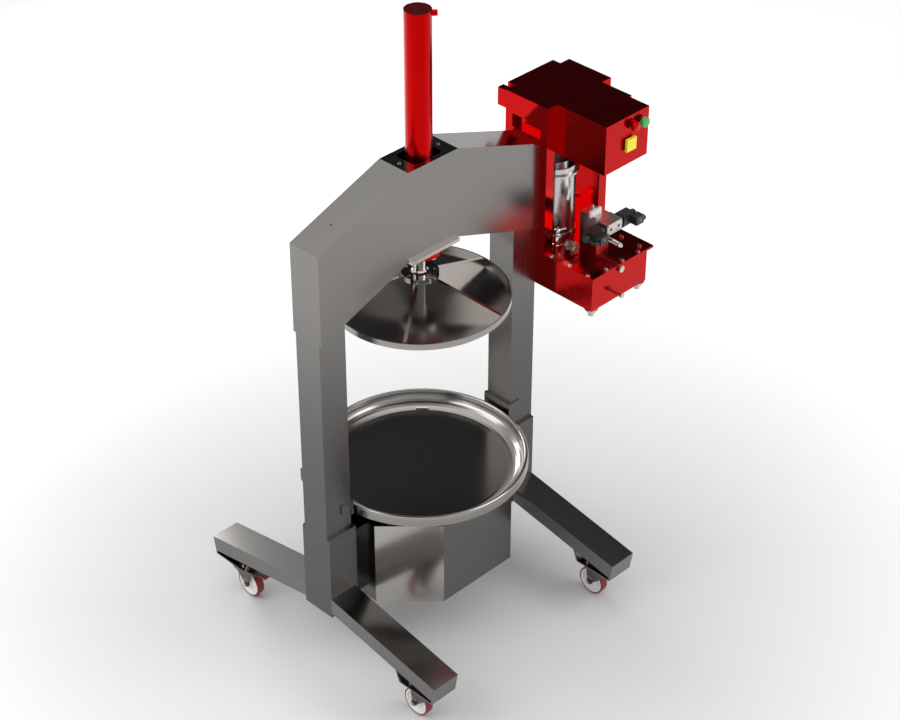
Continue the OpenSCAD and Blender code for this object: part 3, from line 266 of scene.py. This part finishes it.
WHEEL_R, TRAIL, SWIVEL_Y, CASTOR_X = 49, 37, 428, 400
FORK_OUTSIDE, CHEEK_OUTSIDE = 26.2, 19.9
RIVETS = [(-6, 15), (6, 17)]
CORE = [(5.2, 16.6), (12, 16.6), (13.5, 15.2), (14.5, 8.2), (17, 7), (23.5, 6.6), (25, 7.8), (26.5, 6.6),
        (32, 6.8), (35, 8.6), (37, 12.8), (38, 13.4), (43.2, 13.4), (44, 12.6)]
TREAD = [(43.6, 12.8), (44.4, 13.7), (46.4, 14), (48.2, 13), (49, 10.6)]
for end, ty in (("front", -1), ("rear", 1)):
    for side, tx in (("left", -1), ("right", 1)):
        corner = f"{end}_{side}"
        axle = (tx * CASTOR_X, ty * (SWIVEL_Y - TRAIL), WHEEL_R)
        core = Work()
        core.spin(CORE + [(r, -h) for r, h in reversed(CORE)], axle, (1, 0, 0), 72, closed=True)
        core.put(f"{corner}_wheel_core", [core_white], f"{corner}_roller", [f"{corner}_wheel"])
        tread = Work()
        tread.spin(TREAD + [(r, -h) for r, h in reversed(TREAD)], axle, (1, 0, 0), 96, closed=True)
        tread.put(f"{corner}_tread", [tread_red], f"{corner}_roller", [f"{corner}_wheel"])
        dress(f"{corner}_fork", zinc, 0.4)
        trim = Work()
        for way in (-1, 1):
            hub = (axle[0] + way * FORK_OUTSIDE, axle[1], axle[2])
            trim.spin([(4.6, 0), (4.6, 3.2), (3.8, 4)], hub, (way, 0, 0), 24)
            for dy, dz in RIVETS:
                spot = (axle[0] + way * CHEEK_OUTSIDE, axle[1] + dy, axle[2] + dz)
                trim.spin([(3, 0), (3, 1.4), (2, 2.2)], spot, (way, 0, 0), 20)
        trim.put(f"{corner}_axle_trim", [bolt_steel], f"{corner}_castor")

# The rear castors have a brake pedal of pressed steel with a red grip on its tip. It turns on a
# pin through the fork's cheeks and carries a shoe that presses on the tread.
PEDAL_TIP_Y = 321 * MM
for side in ("left", "right"):
    pedal = dress(f"rear_{side}_pedal", zinc, 0.3)
    pedal.data.materials.append(tread_red)
    for face in pedal.data.polygons:
        if face.center.y < PEDAL_TIP_Y:
            face.material_index = 1

# The casing is an eight-sided skirt bent from sheet. Side plates hold it to the sleeves, and two
# flat bars on its top carry the tray. Its four slanting sides get a much brighter copy of the
# same steel: a painted reflection of the bright room they face.
SLANTING = 0.2
casing = dress("casing", satin("satin_casing", "Z", 0.2, (0.15, 0.144, 0.138, 1)), 0.6)
casing.data.materials.append(satin("satin_casing_painted_reflection", "Z", 0.15, (0.46, 0.44, 0.42, 1)))
# Faces turned to the slanting sides take the brighter tone, a painted reflection.
for face in casing.data.polygons:
    if min(abs(face.normal.x), abs(face.normal.y)) > SLANTING:
        face.material_index = 1
dress("casing_brackets", leg_steel, 0.3)

# The tray clips are angles on the inner faces of the uprights, with a round lug on the rear. They
# are bent from the same satin stainless steel, with their edges broken.
dress("tray_clips", upright_steel, 1.2, 1)


def spun(name, rough, tone=STEEL_TONE):
    """Stainless sheet that was spun on a former and polished: fine rings round the upright axis."""
    made, surface = new_material(name, tone, 1.0, rough)
    place = made.node_tree.nodes.new("ShaderNodeTexCoord")
    flat = made.node_tree.nodes.new("ShaderNodeVectorMath")
    flat.operation = "MULTIPLY"
    flat.inputs[1].default_value = (1, 1, 0.3)
    reach = made.node_tree.nodes.new("ShaderNodeVectorMath")
    reach.operation = "LENGTH"
    rings = made.node_tree.nodes.new("ShaderNodeTexNoise")
    rings.noise_dimensions = "1D"
    rings.inputs["Scale"].default_value = 420
    rings.inputs["Detail"].default_value = 2
    link = made.node_tree.links.new
    link(place.outputs["Object"], flat.inputs[0])
    link(flat.outputs["Vector"], reach.inputs[0])
    link(reach.outputs["Value"], rings.inputs["W"])
    spread(made, rings, rough - 0.015, rough + 0.02, surface.inputs["Roughness"])
    tint(made, rings, tone, 0.04, surface.inputs["Base Color"])
    return made


# The tray is spun from stainless sheet: a flat floor, a hollow wall and a rolled rim, with the
# juice outlet cut low in the wall.
dress("tray", spun("spun_tray", 0.19, (0.3, 0.288, 0.274, 1)), smooth=50)

# The ram: a hard-chromed rod with a round flange, five socket-head bolts, and a hub tube that is
# welded to the press plate.
chrome, chrome_surface = new_material("hard_chrome", (0.62, 0.61, 0.60, 1), 1.0, 0.07)
spread(chrome, grain(chrome, (400, 400, 30)), 0.05, 0.1, chrome_surface.inputs["Roughness"])
dress("piston_rod", chrome)
DISC_TOP_Z = 1256
FILLET = [(20.05, 9), (20.3, 9), (20.8, 5), (22.2, 2.2), (25, 0.6), (27, 0.05)]
foot = Work()
foot.spin(FILLET, (0, 0, DISC_TOP_Z), (0, 0, 1), 72)
foot.put("rod_foot_fillet", [chrome], "ram")
dress("piston", bolt_steel)
dress("rod_disc", spun("turned_disc", 0.14, (0.3, 0.29, 0.28, 1)), 1.6, 3)
dress("disc_bolts", bolt_steel, 0.2)
dress("hub", spun("turned_hub", 0.16, (0.36, 0.345, 0.33, 1)), 0.5)

# The press plate is a spun pan with an upturned edge and five radial ribs cut from plate. The
# ribs and the hub are welded to it.
dress("press_dish", spun("spun_dish", 0.2, (0.30, 0.285, 0.27, 1)), smooth=50)
dress("press_ribs", satin("satin_rib", "Z", 0.2, (0.36, 0.345, 0.33, 1)), 0.4)

# The mounting plate hangs under the head's lower edge and carries the cylinder's flange. It is
# thick stainless plate, ground along the beam.
dress("mounting_plate", satin("satin_plate", "X", 0.25, (0.42, 0.40, 0.38, 1)), 0.5)
dress("frame_bolts", bolt_steel, 0.2)

# The cylinder: a steel barrel with a welded cap, flange and oil ports, in glossy red metallic
# paint, like the power unit's sheet metal.
RED_TONE = (0.45, 0.0012, 0.0015, 1)


def enamel(name, rough):
    """Red metallic paint with a little orange peel."""
    made, surface = new_material(name, RED_TONE, 0.98, rough)
    peel = grain(made, (70, 70, 70), 2)
    spread(made, peel, rough - 0.02, rough + 0.03, surface.inputs["Roughness"])
    tint(made, grain(made, (900, 900, 900), 1), RED_TONE, 0.06, surface.inputs["Base Color"])
    relief(made, surface, peel, 0.03, 0.0003)
    return made


barrel_red = enamel("barrel_enamel", 0.2)
dress("barrel", barrel_red)
dress("barrel_cap", barrel_red, 1.2, 3)
dress("cylinder_gland", barrel_red, 0.6)
dress("oil_ports", barrel_red, 0.5)

# The oil tank is a welded sheet box; its lid is a thick plate held by hexagon bolts all round.
# It stands on four round feet and is bolted to the right upright.
sheet_red = enamel("sheet_enamel", 0.11)
dress("tank", sheet_red, 1.2)
lid_red = enamel("lid_enamel", 0.14)
dress("tank_lid", lid_red, 0.8)
dress("lid_bolts", bolt_steel, 0.4)
dress("tank_feet", bolt_steel, 0.5)

# The level plug has a low hexagon head, and the drain is a red pipe with a bright cap. Both are
# steel and are screwed into the tank's front.
PLUG_HEAD_Y = -300 * MM
DRAIN_TOP_Z = 1080 * MM
plugs = dress("tank_plugs", bolt_steel, 0.3)
plugs.data.materials.append(barrel_red)
for face in plugs.data.polygons:
    if face.center.y > PLUG_HEAD_Y and face.center.z < DRAIN_TOP_Z:
        face.material_index = 1

# Two channel columns stand on the lid and carry the hood, a box bent from sheet. The control
# cover closes its front. The real cover has rounded edges, and this skin has sharp ones.
dress("columns", sheet_red, 0.8)
dress("hood", sheet_red, 2.0, 3)
FACE_Y = -282
COVER_LO, COVER_HI = (490, FACE_Y, 1490.4), (680, -203.7, 1653.6)
cover = Work()
cover.block(COVER_LO, COVER_HI)
cover.put("cover_skin", [sheet_red], "frame", ["control_cover"])

# The controls are moulded push-buttons on round collars, and a square yellow switch. They sit in
# bores of the control cover, with their contact blocks behind it.
matt_black, black_surface = new_material("moulded_black", (0.012, 0.012, 0.013, 1), 0.0, 0.42)
spread(matt_black, grain(matt_black, (200, 200, 200)), 0.34, 0.5, black_surface.inputs["Roughness"])


def moulded(name, tone, rough):
    """Plastic moulded in one colour."""
    made, surface = new_material(name, tone, 0.0, rough)
    spread(made, grain(made, (150, 150, 150)), rough - 0.04, rough + 0.08, surface.inputs["Roughness"])
    return made


BUTTONS = [("start", "green_button", 647, 1616, moulded("start_plastic", (0.045, 0.32, 0.07, 1), 0.25)),
           ("stop", "red_button", 605, 1620, enamel("stop_lacquer", 0.1))]
HEAD = [(5.9, -18), (5.9, 0.6), (10, 0.8), (14.8, 1.2), (16, 2.4), (16, 12.2), (15.4, 13.6), (14, 14.3),
        (0.4, 14.4)]
HEAD_LIFT = 6
for label, node, x, z, made in BUTTONS:
    head = Work()
    head.spin(HEAD, (x, FACE_Y - HEAD_LIFT, z), (0, -1, 0), 64)
    head.put(f"{label}_button_head", [made], f"{label}_switch", [node])
SWITCH_X, SWITCH_Z, KNOB_HALF, PAD_HALF = 593, 1562, 20.5, 12
KNOB_FRONT_Y, KNOB_BACK_Y = FACE_Y - 13.4, FACE_Y - 4.2
PAD_FRONT_Y, PAD_BACK_Y = KNOB_FRONT_Y - 0.09, FACE_Y - 10


def switch_corner(way, half, y):
    """The lower left (-1) or the upper right (1) corner of a square round the switch's middle."""
    return (SWITCH_X + way * half, y, SWITCH_Z + way * half)


switch = Work()
switch.block(switch_corner(-1, KNOB_HALF, KNOB_FRONT_Y), switch_corner(1, KNOB_HALF, KNOB_BACK_Y))
switch.block(switch_corner(-1, PAD_HALF, PAD_FRONT_Y), switch_corner(1, PAD_HALF, PAD_BACK_Y))
switch.spin([(5.9, 0), (5.9, 22)], (SWITCH_X, FACE_Y - 5, SWITCH_Z), (0, 1, 0), 32, 1)
switch.put("power_switch_knob", [moulded("switch_yellow", (0.78, 0.66, 0.02, 1), 0.28), matt_black],
           "power_switch", ["main_switch"])
COLLAR = [(8, 0), (14, 0), (14, 1), (12.8, 1.8), (8, 1.8)]
collars = Work()
for label, node, x, z, made in BUTTONS:
    collars.spin(COLLAR, (x, FACE_Y, z), (0, -1, 0), 48, closed=True)
collars.put("button_collars", [barrel_red], "frame")
dress("contact_blocks", matt_black)

# The electric motor stands upright between the columns: a bright drawn shell with a clamping ring.
# Its shaft goes through the lid to the gear pump, whose parts are machined steel.
shell, shell_surface = new_material("drawn_shell", (0.52, 0.51, 0.50, 1), 1.0, 0.22)
spread(shell, grain(shell, (500, 500, 8)), 0.18, 0.26, shell_surface.inputs["Roughness"])
dress("motor_body", shell, 0.8)
for name in ("pump_body", "motor_rotor", "drive_gear", "driven_gear", "valve_spool"):
    dress(name, bolt_steel)

# The valve: a machined block bolted to the front of its manifold, with ports and small screws on
# its face. Its spool slides inside.
alloy, alloy_surface = new_material("milled_alloy", (0.55, 0.54, 0.53, 1), 1.0, 0.3)
spread(alloy, grain(alloy, (30, 700, 700)), 0.25, 0.36, alloy_surface.inputs["Roughness"])
dress("manifold", alloy, 0.8)
dress("valve_block", alloy, 0.7)
fittings = Work()
BLOCK_FACE_Y, BLOCK_MID_Z = -224, 1231
PORTS_X = (600, 636)
PORT_RING = [(4.9, 0), (6.2, 0), (6.2, 0.4), (5.7, 0.7), (4.9, 0.7)]
SCREWS = [(591, 1217), (631, 1217), (587, 1246), (649, 1246)]
SCREW_RING = [(1.2, 0), (2.4, 0), (2.4, 0.5), (2.0, 0.8), (1.2, 0.8)]
for x in PORTS_X:
    fittings.spin(PORT_RING, (x, BLOCK_FACE_Y, BLOCK_MID_Z), (0, -1, 0), 32, closed=True)
for x, z in SCREWS:
    fittings.spin(SCREW_RING, (x, BLOCK_FACE_Y, z), (0, -1, 0), 20, 1, closed=True)
fittings.put("valve_face_fittings", [alloy, matt_black], "frame")

# A small white block, moulded in plastic, stands on the manifold behind the valve. It takes the
# wires of the coils.
TERMINAL_LO, TERMINAL_HI = (582, -157, 1250.3), (631, -149, 1270)
terminal = Work()
terminal.block(TERMINAL_LO, TERMINAL_HI)
white_block = moulded("terminal_white", (0.78, 0.78, 0.77, 1), 0.35)
terminal.put("terminal_block", [white_block], "frame")

# A coil in black resin sits on each end of the valve, held by a knurled nut. The cable plugs are
# moulded in black plastic, with a gland for the cable, and are screwed to the coils' fronts.
AXIS_Y, AXIS_Z = -207, 1232
COIL_HALF, COIL_LONG, FLANGE_LONG = 18, 55, 6
PLUG_WIDE, PLUG_DEEP, GLAND_DROP = 34, 27.6, 7
NUT = [(9, 0), (12.8, 0)]
for ring in range(5):
    start = 1 + 3.2 * ring
    NUT += [(13, start), (13, start + 1.7), (12, start + 2.1), (12, start + 2.8)]
NUT += [(11.4, 18.6), (6, 19.6), (5.4, 18), (0.4, 18)]
GLAND = [(7.6, 4), (8, 5.5), (8, 8.5), (7, 9), (7, 10), (7.8, 10.5), (7.8, 14), (6.6, 16), (4, 16), (3.6, 12),
         (0.4, 12)]
SCREW = [(1.2, 0), (2.8, 0), (2.8, 0.6), (2.2, 1), (1.2, 0.4)]
coils = Work()
plugs_black = Work()
for way, flange_x, gap, plug_from in ((-1, 583, 12, 26), (1, 653, 0, 35)):
    coil_x = flange_x + way * gap
    for start, length in ((coil_x, COIL_LONG), (flange_x, FLANGE_LONG)):
        left, right = sorted((start, start + way * length))
        lo = (left, AXIS_Y - COIL_HALF, AXIS_Z - COIL_HALF)
        hi = (right, AXIS_Y + COIL_HALF, AXIS_Z + COIL_HALF)
        coils.block(lo, hi)
    coils.spin([(11, 0), (11, gap + COIL_LONG + 3)], (flange_x, AXIS_Y, AXIS_Z), (way, 0, 0), 32)
    coils.spin(NUT, (coil_x + way * COIL_LONG, AXIS_Y, AXIS_Z), (way, 0, 0), 40)
    inner, outer = flange_x + way * plug_from, flange_x + way * (plug_from + PLUG_WIDE)
    lo, hi = sorted((inner, outer))
    front = AXIS_Y - COIL_HALF
    plugs_black.block((lo, front - PLUG_DEEP, AXIS_Z - 15), (hi, front, AXIS_Z + 13))
    plugs_black.block((lo + 7, front - 20, AXIS_Z + 12.6), (hi - 7, front - 8, AXIS_Z + 12.98))
    gland_at = (outer, front - 16, AXIS_Z - GLAND_DROP)
    plugs_black.hex_head(gland_at, (way, 0, 0), 16, 5)
    plugs_black.spin(GLAND, gland_at, (way, 0, 0), 36)
    screw_at = (inner + way * PLUG_WIDE / 2, front - PLUG_DEEP, AXIS_Z - 1)
    plugs_black.spin(SCREW, screw_at, (0, -1, 0), 20, 1, closed=True)
coils.put("coil_bodies", [matt_black], "frame", ["solenoids"])
plugs_black.put("cable_plugs", [matt_black, bolt_steel], "frame", ["coil_connectors"])

# The relief valve is a turned and chromed cartridge with an adjusting screw at its end. It is
# screwed into the front of the manifold.
SEAT = (603, -174, 1189)
BODY = [(8.4, 9), (8.4, 59), (7.6, 59.6), (7.6, 61), (8.5, 61.6), (8.5, 72), (7.2, 72.4), (7.2, 77),
        (8.5, 77.4), (8.5, 89), (7.4, 91), (5, 92), (5, 94), (3.4, 95), (0.4, 95)]
cartridge = Work()
cartridge.hex_head(SEAT, (0, -1, 0), 19, 10)
cartridge.spin(BODY, SEAT, (0, -1, 0), 48)
cartridge.put("relief_cartridge", [chrome], "frame", ["relief_valve"])

# The pressure fitting is a large hexagon body with a dull plating, on a neck that is screwed into
# the lid, with a small plug in its side.
dull_plating, dull_surface = new_material("dull_plating", (0.34, 0.31, 0.29, 1), 1.0, 0.34)
spread(dull_plating, grain(dull_plating, (220, 220, 220)), 0.3, 0.42, dull_surface.inputs["Roughness"])
FITTING_X, FITTING_Z = 522, 1165
FITTING_AT = (FITTING_X, -157, FITTING_Z)
BARREL = [(15, 21), (17, 21.6), (17, 26), (14, 27), (13.4, 30), (14, 31), (14, 43), (12, 44), (8, 44),
          (7, 40), (0.4, 40)]
NECK = [(11.8, 0), (11.8, 16), (10.4, 18.6)]
SIDE_PLUG = [(4.6, 0), (4.6, 17), (5, 17.5), (5, 22.5), (4, 24), (0.4, 24)]
fitting = Work()
fitting.hex_head(FITTING_AT, (0, 1, 0), 31, 22)
fitting.spin(BARREL, FITTING_AT, (0, 1, 0), 48)
fitting.spin(NECK, (FITTING_X, -142, 1146.1), (0, 0, 1), 40)
fitting.spin(SIDE_PLUG, (FITTING_X, -135, FITTING_Z), (-1, 0, 0), 28)
fitting.put("pressure_body", [dull_plating], "frame", ["pressure_fitting"])

# The breather is a chromed cup screwed into the lid, with a ball on top and a short lever that
# sticks out of the ball to the front right, a little upwards.
CUP_X, CUP_Y, LID_TOP_Z, BALL_Z, BALL_R, BALL_STEPS = 517, -80, 1146, 1200, 10.4, 14
CUP = [(12, 0), (12, 2), (14, 3), (14, 7), (12.6, 8.4), (12.6, 12), (13.4, 13), (13.4, 36), (12.4, 38.4),
       (9, 39.6), (5, 40), (3.4, 42), (3.4, 46), (0.4, 46)]
GRIP = [(3.6, 6), (3.6, 22), (4.4, 23), (4.4, 26.4), (3.4, 27.8), (0.4, 28)]
LEVER_TURN, LEVER_RISE = math.radians(-30), 0.17
cup = Work()
cup.spin(CUP, (CUP_X, CUP_Y, LID_TOP_Z), (0, 0, 1), 56)
ball = []
for step in range(BALL_STEPS + 1):
    a = math.pi * step / BALL_STEPS
    ball.append((0.3 + BALL_R * math.sin(a), -BALL_R * math.cos(a)))
cup.spin(ball, (CUP_X, CUP_Y, BALL_Z), (0, 0, 1), 40)
cup.spin(GRIP, (CUP_X, CUP_Y, BALL_Z), (math.cos(LEVER_TURN), math.sin(LEVER_TURN), LEVER_RISE), 24)
cup.put("breather_cup", [chrome], "frame", ["breather"])

# The studio floor is pale matt paper, laid flat under the press. Its colour carries a painted
# shade, greyer near the press and lightening over the first three metres.
PAINTED_SHADE_R, PALE_R, PAINTED_SHADE_GREY, PALE = 0.3, 3.0, 0.6, 0.93
FLOOR_HALF = 40
paper, paper_surface = new_material("paper_floor", (0.9, 0.9, 0.9, 1), 0.0, 0.9)
place = paper.node_tree.nodes.new("ShaderNodeTexCoord")
reach = paper.node_tree.nodes.new("ShaderNodeVectorMath")
reach.operation = "LENGTH"
# A painted shade: the floor's colour is greyest near the press.
painted_shade = paper.node_tree.nodes.new("ShaderNodeMapRange")
painted_shade.interpolation_type = "SMOOTHERSTEP"
for key, value in (("From Min", PAINTED_SHADE_R), ("From Max", PALE_R), ("To Min", PAINTED_SHADE_GREY), ("To Max", PALE)):
    painted_shade.inputs[key].default_value = value
link = paper.node_tree.links.new
link(place.outputs["Object"], reach.inputs[0])
link(reach.outputs["Value"], painted_shade.inputs["Value"])
link(painted_shade.outputs["Result"], paper_surface.inputs["Base Color"])
mesh = bpy.data.meshes.new("paper_floor")
sheet = [(x * FLOOR_HALF, y * FLOOR_HALF, 0) for x, y in ((-1, -1), (1, -1), (1, 1), (-1, 1))]
mesh.from_pydata(sheet, [], [(0, 1, 2, 3)])
floor = bpy.data.objects.new("paper_floor", mesh)
bpy.context.scene.collection.objects.link(floor)
mesh.materials.append(paper)

# The room is pale with a bright ceiling, and one dark panel stands high at the back on the right.
# Each edge of the panel fades over a short stretch.
UP, BACK_RIGHT, ACROSS = (-0.1, 0.1, 1), (0.707, 0.707, 0), (0.6, -0.5, 0.62)
ROOM = [(0.0, 0.9), (0.3, 0.86), (0.45, 0.66), (0.75, 0.72), (0.84, 1.38), (1.0, 1.55)]
PANEL_EDGES = [(BACK_RIGHT, 0.25, 0.42), (ACROSS, 0.19, 0.29), (UP, 0.28, 0.36), (UP, 0.8, 0.77)]
PANEL_TONE = (0.022, 0.022, 0.022, 1)
world = bpy.data.worlds.new("room")
bpy.context.scene.world = world
world.use_nodes = True
room = world.node_tree
place = room.nodes.new("ShaderNodeTexCoord")


def share_along(direction):
    """How far each spot of the room lies along a direction."""
    share = room.nodes.new("ShaderNodeVectorMath")
    share.operation = "DOT_PRODUCT"
    share.inputs[1].default_value = direction
    room.links.new(place.outputs["Generated"], share.inputs[0])
    return share.outputs["Value"]


def panel_edge(direction, low, high):
    """Nothing below one share along the direction, and all above the other."""
    edge = room.nodes.new("ShaderNodeMapRange")
    edge.interpolation_type = "SMOOTHSTEP"
    edge.inputs["From Min"].default_value = low
    edge.inputs["From Max"].default_value = high
    room.links.new(share_along(direction), edge.inputs["Value"])
    return edge.outputs["Result"]


heights = room.nodes.new("ShaderNodeValToRGB")
stops = heights.color_ramp.elements
while len(stops) < len(ROOM):
    stops.new(0.5)
for stop, (height, level) in zip(stops, ROOM):
    stop.position = height
    stop.color = (level, level, level, 1)
room.links.new(share_along(UP), heights.inputs["Fac"])
inside = panel_edge(*PANEL_EDGES[0])
for edge in PANEL_EDGES[1:]:
    both = room.nodes.new("ShaderNodeMath")
    both.operation = "MULTIPLY"
    room.links.new(inside, both.inputs[0])
    room.links.new(panel_edge(*edge), both.inputs[1])
    inside = both.outputs["Value"]
darker = room.nodes.new("ShaderNodeMix")
darker.data_type = "RGBA"
pale_end, dark_end = [end for end in darker.inputs if end.type == "RGBA"]
mixed = [end for end in darker.outputs if end.type == "RGBA"][0]
dark_end.default_value = PANEL_TONE
room.links.new(inside, darker.inputs["Factor"])
room.links.new(heights.outputs["Color"], pale_end)
room.links.new(mixed, room.nodes["Background"].inputs["Color"])

# Three large soft boxes light the press: from the front right, from the left and from behind.
# Each one is turned towards the middle of the machine.
LOOK_AT = Vector((0.05, 0, 0.95))
BOXES = [("front_box", (2.3, -3.2, 3.6), 2.6, 2.2, 64), ("side_box", (-3.3, 1.9, 3.5), 4.6, 2.4, 92),
         ("back_box", (0.6, 4.3, 1.7), 2.2, 1.4, 50)]
for name, spot, wide, high, power in BOXES:
    lamp = bpy.data.lights.new(name, "AREA")
    lamp.shape = "RECTANGLE"
    lamp.size = wide
    lamp.size_y = high
    lamp.energy = power
    box = bpy.data.objects.new(name, lamp)
    box.location = spot
    box.rotation_euler = (LOOK_AT - Vector(spot)).to_track_quat("-Z", "Y").to_euler()
    bpy.context.scene.collection.objects.link(box)

# The camera stands to the front left and above, and looks down along the diagonal of a cube. Its
# place and lens were solved from straight edges and circles in the photo.
camera_data = bpy.data.cameras.new("camera")
camera_data.sensor_width = 36
camera_data.lens = 90.12
camera_data.shift_x = 0.0018
camera_data.shift_y = 0.0004
camera = bpy.data.objects.new("camera", camera_data)
camera.location = (-3.9036, -4.0230, 4.8912)
camera.rotation_euler = Vector((0.5774, 0.5774, -0.5774)).to_track_quat("-Z", "Y").to_euler()
bpy.context.scene.collection.objects.link(camera)
bpy.context.scene.camera = camera
bpy.context.scene.view_settings.view_transform = "Standard"

# Flat faces keep flat reflections where they run into curved ones: at a shared corner the larger
# face decides how the surface turns.
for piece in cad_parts.values():
    even = piece.modifiers.new("even flats", "WEIGHTED_NORMAL")
    even.keep_sharp = True
